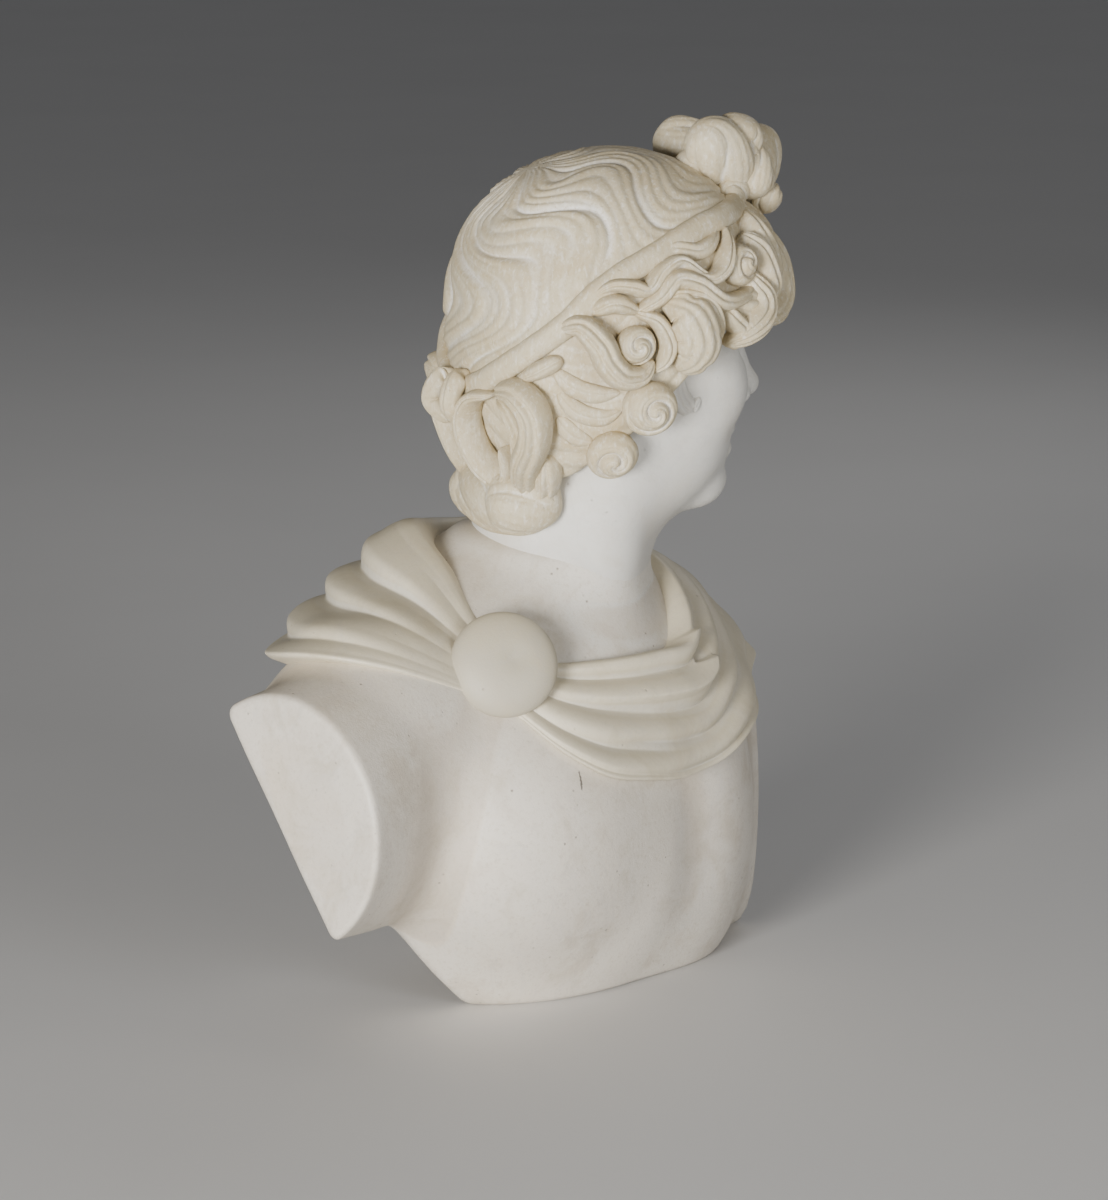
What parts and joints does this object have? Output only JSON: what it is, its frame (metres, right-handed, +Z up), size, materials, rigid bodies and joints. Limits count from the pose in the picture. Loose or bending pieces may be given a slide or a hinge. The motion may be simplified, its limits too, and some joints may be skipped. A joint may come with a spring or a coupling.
{
  "type": "marble bust",
  "caption": "Life-size classical portrait bust in marble: draped shoulders with a round brooch, turned head, curled hair tied in a topknot.",
  "frame": {"origin": "a point in the flat foot that the bust stands on, under the middle of the chest", "axes": "+Z up, -Y the way the chest faces, +X to the figure's left"},
  "size_m": [0.405, 0.2311, 0.5241],
  "materials": {
    "marble": "satin, hand-rubbed",
    "marble_hair": "matte, tool-textured",
    "iron": "dull"
  },
  "bodies": {
    "root": {"almond_lock_left": "marble_hair", "almond_lock_right": "marble_hair", "brooch": "marble", "brooch_pin": "iron", "brow_lock_left": "marble_hair", "brow_lock_right": "marble_hair", "centre_lock_left": "marble_hair", "centre_lock_right": "marble_hair", "cheek_volute_left": "marble_hair", "cheek_volute_right": "marble_hair", "cloth_back": "marble", "cloth_front": "marble", "cloth_right_shoulder": "marble", "drop_curl_left": "marble_hair", "drop_curl_right": "marble_hair", "fillet": "marble_hair", "forehead_lock_left": "marble_hair", "forehead_lock_right": "marble_hair", "front_lock_left": "marble_hair", "front_lock_right": "marble_hair", "hair_cap": "marble_hair", "hair_dowel": "iron", "head": "marble", "jaw_volute_left": "marble_hair", "jaw_volute_right": "marble_hair", "leaf_lock_left": "marble_hair", "leaf_lock_right": "marble_hair", "nape_bow_left": "marble_hair", "nape_bow_right": "marble_hair", "nape_lock_left": "marble_hair", "nape_lock_right": "marble_hair", "nape_roll": "marble_hair", "neck_dowel": "iron", "s_lock_left": "marble_hair", "s_lock_right": "marble_hair", "side_whisker_left": "marble_hair", "side_whisker_right": "marble_hair", "temple_lock_left": "marble_hair", "temple_lock_right": "marble_hair", "topknot_dowel": "iron", "topknot_knot": "marble_hair", "topknot_loop_left": "marble_hair", "topknot_loop_right": "marble_hair", "torso": "marble", "upper_volute_left": "marble_hair", "upper_volute_right": "marble_hair"}
  },
  "joints": []
}
